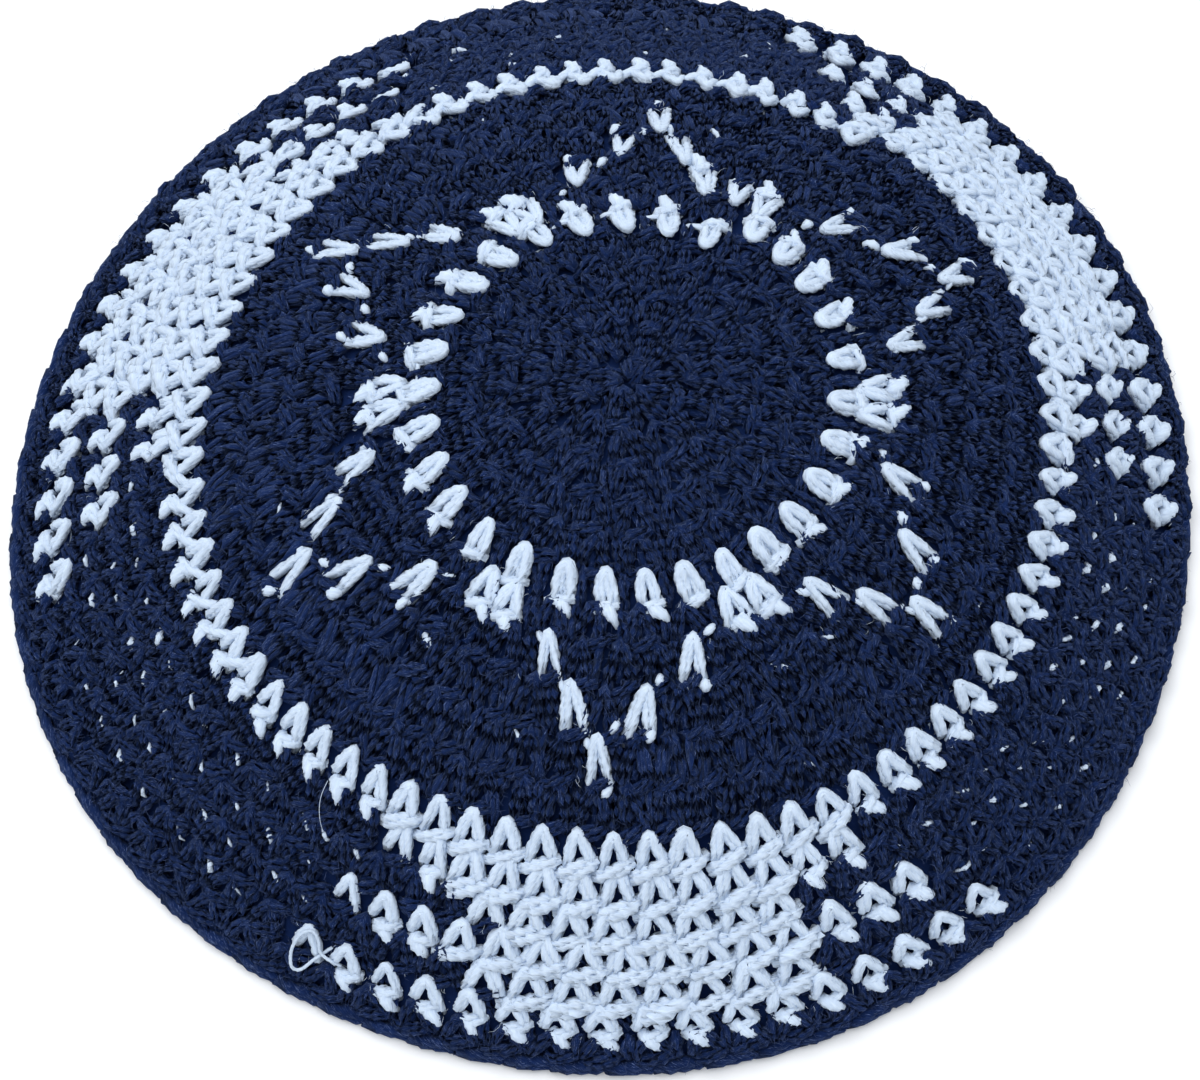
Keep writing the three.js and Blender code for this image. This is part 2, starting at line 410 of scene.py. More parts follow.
def strand_tree(segments, lay, sides, groove):
    tree = bpy.data.node_groups.new("strands", "GeometryNodeTree")
    for in_out in ("INPUT", "OUTPUT"):
        tree.interface.new_socket("Geometry", in_out=in_out, socket_type="NodeSocketGeometry")
    given = add_node(tree, "NodeGroupInput").outputs["Geometry"]

    def named(name):
        return add_node(tree, "GeometryNodeInputNamedAttribute", Name=name).outputs["Attribute"]

    def maths(operation, a, b):
        made = add_node(tree, "ShaderNodeMath", {"operation": operation})
        for socket, value in zip(made.inputs, (a, b)):
            if isinstance(value, bpy.types.NodeSocket):
                tree.links.new(value, socket)
            else:
                socket.default_value = value
        return made.outputs["Value"]

    path = add_node(tree, "GeometryNodeMeshToCurve", Mesh=given).outputs["Curve"]
    if segments:
        path = add_node(tree, "GeometryNodeCurveSplineType", {"spline_type": "CATMULL_ROM"},
                        Curve=path).outputs["Curve"]
        path = add_node(tree, "GeometryNodeResampleCurve", Curve=path, Count=segments + 1).outputs["Curve"]
    length = maths("DIVIDE", add_node(tree, "GeometryNodeSplineParameter").outputs["Length"], MM)
    path = add_node(tree, "GeometryNodeStoreNamedAttribute", Geometry=path, Name="along",
                    Value=length).outputs["Geometry"]
    twist = maths("ADD", maths("MULTIPLY", named("along"), FULL_TURN / lay), maths("MULTIPLY", named("seed"), 50.0))
    path = add_node(tree, "GeometryNodeSetCurveTilt", Curve=path, Tilt=twist).outputs["Curve"]

    section = add_node(tree, "GeometryNodeCurvePrimitiveCircle", Resolution=sides, Radius=1.0).outputs["Curve"]
    position = add_node(tree, "GeometryNodeInputPosition").outputs["Position"]
    section = add_node(tree, "GeometryNodeStoreNamedAttribute", {"data_type": "FLOAT_VECTOR"},
                       Geometry=section, Name="ring", Value=position).outputs["Geometry"]
    index = add_node(tree, "GeometryNodeInputIndex").outputs["Index"]
    between = maths("MODULO", index, 2.0)
    size = maths("SUBTRACT", 1.0, maths("MULTIPLY", between, groove))
    drawn_in = add_node(tree, "ShaderNodeVectorMath", {"operation": "SCALE"}, Vector=position, Scale=size)
    section = add_node(tree, "GeometryNodeSetPosition", Geometry=section,
                       Position=drawn_in.outputs["Vector"]).outputs["Geometry"]
    body = add_node(tree, "GeometryNodeCurveToMesh", Curve=path, Profile_Curve=section,
                    Scale=named("thickness"), Fill_Caps=True).outputs["Mesh"]
    body = add_node(tree, "GeometryNodeSetShadeSmooth", Geometry=body).outputs["Geometry"]
    add_node(tree, "NodeGroupOutput", Geometry=body)
    return tree


def wind(name, strands, finish, segments, lay=9.0, sides=SECTION_SIDES, groove=PLY_GROOVE):
    """A piece from (points, thicknesses, seeds), with one row of points for each strand."""
    points, thickness, seeds = strands
    count, joints = thickness.shape
    first = np.arange(count * joints).reshape(count, joints)
    edges = np.stack([first[:, :-1].ravel(), first[:, 1:].ravel()], -1)
    mesh = bpy.data.meshes.new(name)
    mesh.from_pydata(points.reshape(-1, 3) * MM, edges, [])
    mesh.attributes.new("thickness", "FLOAT", "POINT").data.foreach_set("value", thickness.ravel() * MM)
    mesh.attributes.new("seed", "FLOAT", "POINT").data.foreach_set("value", np.repeat(seeds, joints))
    piece = bpy.data.objects.new(name, mesh)
    bpy.context.scene.collection.objects.link(piece)
    piece.modifiers.new("strands", "NODES").node_group = strand_tree(segments, lay, sides, groove)
    ready = piece.evaluated_get(bpy.context.evaluated_depsgraph_get())
    solid = bpy.data.meshes.new_from_object(ready)
    piece.modifiers.clear()
    piece.data = solid
    solid.name = name
    bpy.data.meshes.remove(mesh)
    solid.materials.clear()
    solid.materials.append(materials[finish])
    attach(piece, "root")
    solid.calc_loop_triangles()
    print(name, count, "strands,", len(solid.loop_triangles), "triangles")
    return piece


# %% [markdown]
# ## Where the stitches are
# The rounds are one spiral, so each stitch starts a little further out than the one before it.
# The table gives, for each round, how many stitches it has and how far from the centre they
# start, half-way round. The first six rounds grow by five stitches, the next six by eight, and
# the rest keep 78, which is what pulls the cap into a dome.

# %% The rounds
ROUNDS = (  # stitches, start of the stitches from the centre, first stitch in degrees
    (5, 1.3, 12.0),
    (10, 6.5, 9.0),
    (15, 11.8, 12.0),
    (20, 16.8, 10.0),
    (25, 21.6, 12.0),
    (30, 26.8, 10.0),
    (38, 31.4, 10.5),
    (46, 36.0, 12.5),
    (54, 41.9, 11.0),
    (62, 48.3, 9.5),
    (70, 54.9, 5.0),
    (79, 61.2, 0.5),
    (78, 66.0, 5.0),
    (78, 71.2, 7.0),
    (78, 75.7, 9.5),
    (78, 80.1, 12.0),
    (78, 84.7, 15.0),
    (78, 89.3, 18.0),
    (78, 93.2, 14.0),
)
TABLE_TURN = 0.583  # the part of the turn where the starts above hold
EDGING_START = 93.2
round_turns = np.array([0.0, *(k + TABLE_TURN for k in range(len(ROUNDS) + 1))])
round_starts = np.array([1.0, *(row[1] for row in ROUNDS), EDGING_START])
FAR_SIDE = math.radians(35)  # from the rounds' start, where the outer rounds lie closer together
FAR_DRAW = 2.2
DRAWN_ROUNDS = ((11.5, 0.0), (15.0, 0.6), (17.1, 1.0), (18.1, 0.0))  # turns, share of the draw
BACK_SIDE = math.radians(15)  # where they are pressed together once more
PRESSED_ROUNDS = ((11.5, 0.0), (13.0, 1.6), (15.0, 2.8), (17.1, 3.8), (18.0, 4.4), (18.6, 0.0))  # turns, mm


def start_length(turns):
    even = np.interp(turns, round_turns, round_starts)
    share = np.interp(turns, *np.transpose(DRAWN_ROUNDS))
    drawn = FAR_DRAW * share * (0.5 + np.cos(FULL_TURN * (turns % 1) - FAR_SIDE))
    pressed = np.interp(turns, *np.transpose(PRESSED_ROUNDS))
    return even - drawn - pressed * np.maximum(0, np.cos(FULL_TURN * (turns % 1) - BACK_SIDE))


# %% [markdown]
# ## The pattern
# The white yarn makes a ring, a six-pointed star on it, a second ring, and three blocks of
# checks outside that. The chart says which stitches of a round are white, by their angle from
# the round's start. A crocheter counts stitches, but the angles keep the star's points where
# the photograph has them, and the stitches between are spread evenly.

# %% The chart
RING_STEP = 3
RING_TURNS = (10, 49.5, 88, 125, 161, 200.5, 233.5, 267, 303, 340)  # every third stitch of round 6
STAR_TIPS = (29.5, 92.5, 152.5, 213.5, 271.5, 331.5)
RING_TIES = (61, 67.6, 122.5, 129.1, 183, 189.6, 242, 248.6, 301.5, 308.1, 363)
LEFT_ARMS = ((8, -12.5), (9, -5.8))  # round, degrees from the tip
RIGHT_ARMS = ((8, 18.3), (9, 8.0))
LAST_TIE = 9.6  # just past the start of round 8
STAR_CHART = {7: list(RING_TIES), 8: [LAST_TIE], 10: list(STAR_TIPS)}
for arm_round, step in LEFT_ARMS + RIGHT_ARMS:
    STAR_CHART.setdefault(arm_round, []).extend(tip + step for tip in STAR_TIPS)
WHITE_ROUNDS = (6, 12)
BLOCKS = 3
BLOCK_CHART = {  # round: white stitches in a block, then degrees of the first and last in each
    13: (13, 68.5, 125.0, 190.5, 244.5, 308.5, 363.5),
    14: (8, 82.0, 115.0, 203.0, 235.5, 320.5, 354.0),
    15: (15, 65.5, 131.0, 187.5, 250.0, 306.0, 368.5),
    16: (8, 82.5, 116.0, 204.5, 236.0, 320.5, 354.5),
    17: (17, 62.0, 136.5, 186.0, 256.0, 302.5, 374.0),
}
FULL_FROM = 300  # degrees, where a row's first white stitch has a white bar too


def block_starts(number):
    """Index of the first white stitch of each block in a round."""
    count, _, first = ROUNDS[number - 1]
    lead = round((BLOCK_CHART[number][1] - first) * count / 360)
    return [lead + block * count // BLOCKS for block in range(BLOCKS)]


def runs_over(number):
    """Whether a round's last block ends with the first stitch of the round after it."""
    if number not in BLOCK_CHART:
        return False
    return block_starts(number)[-1] + BLOCK_CHART[number][0] > ROUNDS[number - 1][0]


def pinned_stitches(number, spots):
    """Stitches whose degrees the chart gives, as their indices and degrees."""
    if number == WHITE_ROUNDS[0]:
        return np.arange(0, len(spots), RING_STEP), np.array(RING_TURNS, float)
    if number in STAR_CHART:
        degrees = np.sort(np.array(STAR_CHART[number], float))
        nearest = np.array([np.abs(spots - turn).argmin() for turn in degrees])
        for pin in range(1, len(nearest)):
            nearest[pin] = max(nearest[pin], nearest[pin - 1] + 1)
        return nearest, degrees
    ends, degrees = [], []
    if runs_over(number - 1):
        ends.append(0)
        degrees.append(BLOCK_CHART[number - 1][-1] - 360)
    if number in BLOCK_CHART:
        last = BLOCK_CHART[number][0] - 1
        ends += [start + step for start in block_starts(number) for step in (0, last)]
        degrees += BLOCK_CHART[number][1:]
    return np.array(ends, int), np.array(degrees, float)


def stitch_turns(number):
    """Degrees from the round's start to each stitch, spread between the charted ones."""
    count, _, first = ROUNDS[number - 1]
    more, _, next_first = ROUNDS[min(number, len(ROUNDS) - 1)]
    fuller = 1 + (more / count - 1) * (np.arange(count) / count - 0.5)
    steps = np.cumsum(1 / fuller) / np.sum(1 / fuller)
    spots = first + (360 + next_first - first) * np.append(0, steps[:-1])
    pins, degrees = pinned_stitches(number, spots)
    if not len(pins):
        return spots
    pins = np.concatenate([[pins[-1] - count], pins, [pins[0] + count]])
    degrees = np.concatenate([[degrees[-1] - 360], degrees, [degrees[0] + 360]])
    return np.interp(np.arange(count), pins, degrees)


def white_mask(number, turns):
    if number in WHITE_ROUNDS:
        return np.ones(len(turns), bool)
    white = np.zeros(len(turns), bool)
    white[0] = runs_over(number - 1)
    for turn in STAR_CHART.get(number, []):
        white[np.abs(turns - turn).argmin()] = True
    if number in BLOCK_CHART:
        for start in block_starts(number):
            white[start : start + BLOCK_CHART[number][0]] = True
    return white


LEAST_HEIGHT = 1.3  # where the spiral has less height left than this, it has run out
rows = []
for number in range(1, len(ROUNDS) + 1):
    turns = stitch_turns(number)
    if number == len(ROUNDS):
        turns = turns[start_length(number - 1 + turns / 360) < EDGING_START - LEAST_HEIGHT]
    white = white_mask(number, turns)
    follows_white = white & (np.roll(white, 1) | (number in (*WHITE_ROUNDS, WHITE_ROUNDS[0] + 1)))
    follows_white[0] |= runs_over(number - 1)
    follows_white |= white & (turns > FULL_FROM) & (number > WHITE_ROUNDS[1])
    rows.append(np.stack([np.full(len(turns), number), turns, white, follows_white], -1))
stitches = np.concatenate(rows)
number, turn, white, white_bar = stitches.T
number = number.astype(int)
white, white_bar = white.astype(bool), white_bar.astype(bool)
spiral = number - 1 + turn / 360
start = start_length(spiral)
height = start_length(spiral + 1) - start
counts = np.array([ROUNDS[n - 1][0] for n in number])
width = FULL_TURN * radius_at(start + height / 2) / counts
azimuth = ROUND_START + np.radians(turn)
print(len(stitches), "stitches,", int(white.sum()), "of them white")


# %% Neighbours one turn of the spiral away
after = np.argsort(np.abs(spiral[None] - spiral[:, None] - 1), axis=1)[:, :2]
topped_by_white = white[after].any(axis=1)  # by either stitch that is worked into its sides
before = np.abs(spiral[None] - spiral[:, None] + 1).argmin(axis=1)
under_white = white_bar[before]
print(int(topped_by_white.sum()), "stitches lie under white ones,", int(under_white.sum()), "over white bars")

# %% [markdown]
# ## One stitch
# A single crochet shows two legs that start together under the round before and spread, and the
# front loop of its top, a slanted bar over the legs' ends. The next round's legs come out
# between the bars. Below each bar a gap shows the cloth's inside. Each table walks along one
# stretch of yarn. The shares of the height keep the stitch right in taller and shorter rounds.

# %% Shapes of a stitch
LEGS = (  # mm along the round, share of the height outwards, mm of lift, radius
    (-1.50, 1.16, -1.10, 0.70),
    (-1.56, 0.90, 0.05, 0.96),
    (-1.26, 0.60, 0.50, 1.02),
    (-0.84, 0.30, 0.62, 1.00),
    (-0.40, 0.08, 0.50, 0.92),
    (0.00, -0.03, 0.38, 0.88),
    (0.40, 0.08, 0.50, 0.92),
    (0.88, 0.30, 0.62, 1.00),
    (1.42, 0.60, 0.50, 1.02),
    (1.98, 0.90, 0.05, 0.96),
    (2.12, 1.16, -1.10, 0.70),
)
RING_LEGS = (  # the white loops of the first ring close again at their foot
    (-0.52, 1.16, -0.90, 0.80),
    (-0.78, 0.90, 0.25, 1.04),
    (-0.90, 0.58, 0.62, 1.12),
    (-0.74, 0.28, 0.80, 1.08),
    (-0.38, 0.06, 0.78, 0.98),
    (0.00, -0.02, 0.74, 0.92),
    (0.38, 0.06, 0.78, 0.98),
    (0.76, 0.28, 0.80, 1.08),
    (1.00, 0.58, 0.62, 1.12),
    (1.02, 0.90, 0.25, 1.04),
    (0.82, 1.16, -0.90, 0.80),
)
LONE_LEGS = (  # of a white stitch with navy all round it: its left leg is mostly covered
    (-1.40, 0.86, -1.00, 0.70),
    (-1.34, 0.68, 0.05, 0.96),
    (-1.04, 0.46, 0.50, 1.02),
    (-0.68, 0.24, 0.62, 1.00),
    (-0.34, 0.07, 0.50, 0.94),
    (0.02, -0.03, 0.40, 0.90),
    (0.44, 0.08, 0.50, 0.94),
    (0.96, 0.30, 0.62, 1.00),
    (1.50, 0.58, 0.50, 1.02),
    (2.06, 0.88, 0.05, 0.96),
    (2.30, 1.12, -1.10, 0.70),
)
BAR = (
    (-2.05, 1.10, -0.55, 0.85),
    (-1.20, 1.08, 0.22, 1.08),
    (0.25, 0.98, 0.52, 1.18),
    (1.60, 0.88, 0.25, 1.10),
    (2.40, 0.80, -0.55, 0.85),
)
LONE_BAR = (
    (-1.10, 1.06, -0.60, 0.80),
    (-0.50, 1.03, 0.25, 1.02),
    (0.60, 0.96, 0.55, 1.14),
    (1.70, 0.86, 0.28, 1.08),
    (2.45, 0.78, -0.55, 0.85),
)
BAND_BAR = (  # where the round above is white too, the bars make one band
    (-2.90, 1.20, -0.35, 1.00),
    (-1.75, 1.12, 0.48, 1.26),
    (0.05, 0.98, 0.74, 1.34),
    (1.80, 0.84, 0.48, 1.26),
    (2.90, 0.76, -0.35, 1.00),
)
FOOT = (
    (-0.20, 0.92, -0.30, 1.05),
    (0.40, 1.06, 0.70, 1.16),
    (1.05, 1.20, 0.85, 1.00),
    (1.60, 1.33, 0.65, 0.72),
    (2.00, 1.45, -0.30, 0.42),
)
RING_LINK = (  # from one stitch to the next, where the ring is drawn out
    (0.90, 0.72, -0.10, 0.60),
    (2.10, 0.70, 0.45, 0.48),
    (3.40, 0.66, 0.45, 0.44),
    (4.60, 0.62, 0.00, 0.40),
)
OUTER_LINK = (  # the same in the outer ring
    (1.10, 0.84, 0.10, 0.90),
    (2.20, 0.72, 0.62, 0.82),
    (3.30, 0.56, 0.66, 0.78),
    (4.30, 0.42, 0.20, 0.80),
)
GAP_STRAND = (  # the navy inside that shows below a bar
    (0.10, 1.10, -0.90, 0.80),
    (0.60, 1.30, -0.45, 1.00),
    (1.10, 1.50, -0.45, 0.95),
    (1.40, 1.75, -0.90, 0.70),
)
POST_STRAND = (  # between the legs
    (0.05, 0.30, -0.90, 0.75),
    (0.20, 0.55, -0.50, 0.90),
    (0.40, 0.85, -0.70, 0.80),
)
SIDE_STRAND = (  # and between two stitches
    (-2.45, -0.05, -0.50, 0.85),
    (-2.55, 0.22, 0.25, 1.15),
    (-2.68, 0.52, 0.35, 1.20),
    (-2.80, 0.82, 0.10, 1.10),
    (-2.90, 1.05, -0.60, 0.80),
)
USUAL_WIDTH = 5.3
USUAL_HEIGHT = 4.6
SLIM_ROUNDS = (6, 11)  # rounds whose white stitches are drawn tight
SLIM = 0.80
slim = np.where(white & (number >= SLIM_ROUNDS[0]) & (number <= SLIM_ROUNDS[1]), SLIM, 1.0)
lone = white & (number >= WHITE_ROUNDS[1]) & ~topped_by_white
spacing = np.clip(width / USUAL_WIDTH, 0.55, 1.25)
spread = spacing * slim * np.where(lone, 0.90, 1.0) * np.where(white & topped_by_white & under_white, 1.1, 1.0)


def on_chart(pairs):
    """The star's stitches at given rounds and degrees from its tips."""
    found = [
        np.flatnonzero(number == star_round)[np.abs(turn[number == star_round] - tip - step).argmin()]
        for star_round, step in pairs for tip in STAR_TIPS
    ]
    return np.array(found)


left_arms, right_arms, tips = on_chart(LEFT_ARMS), on_chart(RIGHT_ARMS), on_chart(((10, 0.0),))
lean = np.where(white, 0.5, 0.3)  # mm along the round that a stitch leans by its outer end
apex_rise = np.where(white & ~under_white, 0.75, 0.0)  # mm by which the start of a stitch stands up
weight = np.where(slim < 1, 0.92, 1.0) * np.where(white & topped_by_white & under_white, 1.12, 1.0)
weight *= np.where(white & (number >= WHITE_ROUNDS[1]), 0.97 * np.clip(height / USUAL_HEIGHT, 0.5, 1) ** 0.75, 1)
unruly = np.where(white, 0.2, 0.7)  # mm by which the stitches differ in that
lean[left_arms] = 1.7
lean[right_arms] = -1.3
lean[tips] = 0.9


BENDS = 6  # places along a stretch that are pushed at random
PLY_TURNS = 0.35  # turns of the plies round each other along one stretch
NAVY_PLIES = (5, 0.58, 0.44)  # how many, how far from the middle, and how thick, as shares of the radius
WHITE_PLIES = (3, 0.36, 0.68)


def rounded(shape):
    """A shape with more points round its middle, where two legs turn into each other."""
    rows = [np.array(row) for row in shape]
    middle = len(rows) // 2
    made = rows[: middle - 2]
    for k in range(middle - 3, middle + 3):
        made.append((9 * (rows[k] + rows[k + 1]) - rows[k - 1] - rows[k + 2]) / 16)
        made.append(rows[k + 1])
    return np.array(made + rows[middle + 4 :])


def draw(shape, chosen, wander=0.13, thick_wander=0.09, plies=(1, 0.0, 1.0), across=spread):
    """Strand points, radii and seeds of one shape at each of the chosen stitches."""
    along, out, lift, radius = np.array(shape).T
    strands = len(chosen)
    narrow = across[chosen, None]
    knots = chance.normal(0, wander, (strands, BENDS, 3))
    spots = np.linspace(0, BENDS - 1, len(shape))
    before = np.minimum(spots.astype(int), BENDS - 2)
    past = (spots - before)[None, :, None]
    bent = knots[:, before] * (1 - past) + knots[:, before + 1] * past
    tilt = lean[chosen, None] + chance.normal(0, 1, (strands, 1)) * unruly[chosen, None]
    side = along[None] * narrow + bent[..., 0] + tilt * out[None]
    length = start[chosen, None] + out[None] * height[chosen, None] + bent[..., 1]
    angle = azimuth[chosen, None] + side / np.maximum(radius_at(np.maximum(length, 0)), 1.2)
    rise = lift[None] + 0.6 * bent[..., 2]
    rise += apex_rise[chosen, None] * np.maximum(0, 1 - out[None] / 0.35)
    points = cloth_point(length, angle, rise)
    thickness = radius[None] * weight[chosen, None] * (1 + chance.normal(0, thick_wander, (strands, 1)))
    thickness *= np.minimum(1, narrow / slim[chosen, None]) ** 0.2
    count, reach, share = plies
    if count == 1:
        return points, thickness, chance.random(strands)
    up = cloth_point(length, angle, rise + 1) - points
    across = np.cross(np.gradient(points, axis=1), up)
    across /= np.linalg.norm(across, axis=-1, keepdims=True)
    walk = np.linspace(0, PLY_TURNS * FULL_TURN, len(shape))[None]
    gathered = 0.5 * np.maximum(0, 1 - np.abs(out[None]) / 0.25)  # where the legs start together
    begin = chance.uniform(0, FULL_TURN, (strands, 1))
    bundle = []
    for ply in range(count):
        phase = begin + walk + FULL_TURN * ply / count
        off = reach * thickness * (1 + chance.normal(0, 0.15, (strands, 1))) * (1 - gathered)
        bundle.append(points + (off * np.cos(phase))[..., None] * across + (off * np.sin(phase))[..., None] * up)
    return np.concatenate(bundle), np.tile(thickness * (share + reach * gathered), (count, 1)), chance.random(count * strands)


# %% [markdown]
# ## The rounds of stitches
# The legs of all the stitches of one colour and one part of the cap are one piece, and so are
# the bars. The navy ground is split at the white rings, as the pattern is.

# %% Legs and bars
NAVY_SIDES = 3
WHITE_SIDES = 5
PARTS = (  # piece, first round, last round, white
    ("centre_ground", 1, 5, False),
    ("star_ground", 6, 11, False),
    ("side_ground", 12, 19, False),
    ("inner_ring", 6, 6, True),
    ("star", 7, 10, True),
    ("outer_ring", 12, 12, True),
    ("side_blocks", 13, 18, True),
)
in_band = white_bar & topped_by_white & (number >= WHITE_ROUNDS[1])
lone_bar = white_bar & ~topped_by_white & (number >= WHITE_ROUNDS[1])
for name, first, last, is_white in PARTS:
    part = (number >= first) & (number <= last)
    slot, plies, sides, wander = "navy_yarn", NAVY_PLIES, NAVY_SIDES, 0.20
    if is_white:
        slot, plies, sides, wander = "white_yarn", WHITE_PLIES, WHITE_SIDES, 0.07
    usual = RING_LEGS if name == "inner_ring" else LEGS
    if is_white:
        usual = rounded(usual)
    mine = part & (white == is_white)
    bars = part & (white_bar == is_white)
    for piece, shape, chosen, segments in (
        ("_legs", usual, mine & ~lone, 0),
        ("_lone_legs", rounded(LONE_LEGS), mine & lone, 0),
        ("_bars", BAR, bars & ~in_band & ~lone_bar, 5),
        ("_lone_bars", LONE_BAR, bars & lone_bar, 5),
        ("_band", BAND_BAR, bars & in_band, 5),
    ):
        if chosen.any():
            strands = draw(shape, np.flatnonzero(chosen), wander, plies=plies)
            wind(name + piece, strands, slot, segments, sides=sides, groove=0)

# %% Feet of the white bars
feet = np.flatnonzero(white_bar & ~topped_by_white)
wind("white_feet", draw(FOOT, feet), "white_yarn", 5, sides=8)
LINKS = (  # piece, its shape, round, then the first and last degrees of two stretches
    ("inner_links", RING_LINK, WHITE_ROUNDS[0], ((8, 60), (108, 122))),
    ("outer_links", OUTER_LINK, WHITE_ROUNDS[1], ((14, 64), (126, 158))),
)
for name, shape, linked_round, stretches in LINKS:
    ring_turn = np.where(number == linked_round, turn, -1)
    linked = np.flatnonzero(np.any([(ring_turn >= low) & (ring_turn <= high) for low, high in stretches], axis=0))
    wind(name, draw(shape, linked, wander=0.1), "white_yarn", 5)

# %% Small ends of white yarn at the star's stitches
STAR_BITS = (  # whose, mm along, mm outwards, length, degrees from outwards, radius
    (np.concatenate([left_arms, tips]), -1.1, 0.8, 1.5, 20, 0.55),
    (np.concatenate([right_arms, tips]), 2.2, -0.9, 1.7, -40, 0.60),
    (right_arms, 0.2, 6.3, 1.3, -25, 0.75),
    (tips, 1.7, 6.9, 2.2, -25, 0.70),
)


def short_ends(owners, along, out, length, degrees, radius):
    shares = np.linspace(-0.5, 0.5, 4)[None]
    size = length * (1 + chance.normal(0, 0.2, (len(owners), 1)))
    slant = np.radians(degrees) + chance.normal(0, 0.25, (len(owners), 1))
    reach = start[owners, None] + out + shares * size * np.cos(slant) + chance.normal(0, 0.2, (len(owners), 1))
    side = along - shares * size * np.sin(-slant) + chance.normal(0, 0.2, (len(owners), 1))
    angle = azimuth[owners, None] + side / radius_at(reach)
    points = cloth_point(reach, angle, np.array([[0.2, 0.75, 0.75, 0.2]]))
    thickness = radius * np.array([[0.6, 1.0, 1.0, 0.6]]) * (1 + chance.normal(0, 0.15, (len(owners), 1)))
    return points, thickness, chance.random(len(owners))


bits = [short_ends(*row) for row in STAR_BITS]
wind("star_bits", tuple(np.concatenate(parts) for parts in zip(*bits)), "white_yarn", 4, sides=8)

# %% Navy yarn deep in the gaps
no_foot = np.setdiff1d(np.arange(len(stitches)), feet)
navy = np.flatnonzero((~white & ~np.roll(white, 1)) | ((number >= SLIM_ROUNDS[0]) & (number <= SLIM_ROUNDS[1])))
FILL_PLIES = (3, 0.50, 0.52)
wind("gap_strands", draw(GAP_STRAND, no_foot, plies=FILL_PLIES), "navy_yarn", 3, sides=3)
wind("side_strands", draw(SIDE_STRAND, navy, plies=FILL_PLIES, across=spacing), "navy_yarn", 4, sides=3)
wind("post_strands", draw(POST_STRAND, navy), "navy_yarn", 3, sides=4)

# %% [markdown]
# ## White yarn that shows through the ground
# The white yarn is carried inside the stitches where the pattern is navy. It shows as small
# specks in the gaps below the bars, mostly in the rounds outside the second ring.

# %% Specks of carried yarn
SPECK = (
    (-0.10, 1.16, -0.05, 0.14),
    (0.55, 1.24, 0.66, 0.32),
    (1.40, 1.34, 0.82, 0.40),
    (2.05, 1.42, 0.00, 0.18),
)
FEW_FROM, FEW_TO = 310, 110  # degrees, where few of them show
SPECK_SHARE = {n: 0.95 for n in range(13, 17)} | {n: 0.08 for n in range(7, 11)}
likely = np.array([SPECK_SHARE.get(n, 0.0) for n in number])
likely[(turn > FEW_FROM) | (turn < FEW_TO)] *= 0.35
specks = np.flatnonzero((chance.random(len(stitches)) < likely) & ~white & ~white_bar & ~topped_by_white)
wind("carried_yarn", draw(SPECK, specks, wander=0.2, thick_wander=0.35), "white_yarn", 4, lay=5.5)

# %% Loose ends of white thread
LOOSE_THREADS = (  # name, radius, then turns, mm from the centre and lift of each point
    ("loose_loop", 0.26, ((188.8, 86.4, 0.2), (187.8, 88.6, 1.5), (187.1, 90.5, 2.2), (186.2, 90.5, 2.6),
                          (185.5, 88.2, 2.8), (185.6, 85.8, 2.7), (186.4, 84.6, 2.4), (187.4, 85.6, 1.9),
                          (188.0, 87.2, 1.5), (189.2, 87.9, 1.1), (190.4, 88.3, 0.2))),
    ("stray_thread", 0.05, ((179.2, 66.0, 0.8), (179.7, 67.6, 1.9), (180.3, 69.1, 2.1), (181.1, 70.5, 2.0),
                            (181.9, 71.7, 1.5), (182.4, 72.4, 0.5))),
)
for name, radius, path in LOOSE_THREADS:
    turns, lengths, lifts = np.transpose(path)
    points = cloth_point(lengths, ROUND_START + np.radians(turns), lifts)[None]
    wind(name, (points, np.full(points.shape[:2], radius), np.array([0.5])), "white_yarn", 40, lay=2.0)

# %% [markdown]
# ## The inside of the cloth
# Behind the stitches that show, the cloth is closed by the backs of the stitches. A thin navy
# shell stands for the yarn in the middle of the cloth, so that no light comes through. Its
# half section is a row of vertices that is spun round the middle, and each vertex is then moved
# to its place on the dome.

# %% The core of the cloth
CORE_OUTSIDE = -1.15
CORE_INSIDE = -1.75
CORE_END = 94.4
core_steps = 44
core_mesh = bpy.data.meshes.new("cloth_core")
bm = bmesh.new()
outer_line = [bm.verts.new((x, 0, CORE_OUTSIDE)) for x in np.linspace(0, CORE_END, core_steps)]
inner_line = [bm.verts.new((x, 0, CORE_INSIDE)) for x in np.linspace(CORE_END, 0, core_steps)]
section = outer_line + inner_line
edges = [bm.edges.new(pair) for pair in zip(section[:-1], section[1:])]
bmesh.ops.spin(bm, geom=section + edges, axis=(0, 0, 1), cent=(0, 0, 0), angle=FULL_TURN, steps=96,
               use_merge=True)
bmesh.ops.remove_doubles(bm, verts=bm.verts, dist=1e-4)
bmesh.ops.recalc_face_normals(bm, faces=bm.faces)
for vertex in bm.verts:
    x, y, lift = vertex.co
    vertex.co = cloth_point(math.hypot(x, y), math.atan2(y, x), lift) * MM
bmesh.ops.recalc_face_normals(bm, faces=bm.faces)
for face in bm.faces:
    face.smooth = True
bm.to_mesh(core_mesh)
print("cloth_core", len(core_mesh.polygons), "faces, volume mm3", round(bm.calc_volume(signed=True) * 1e9))
bm.free()

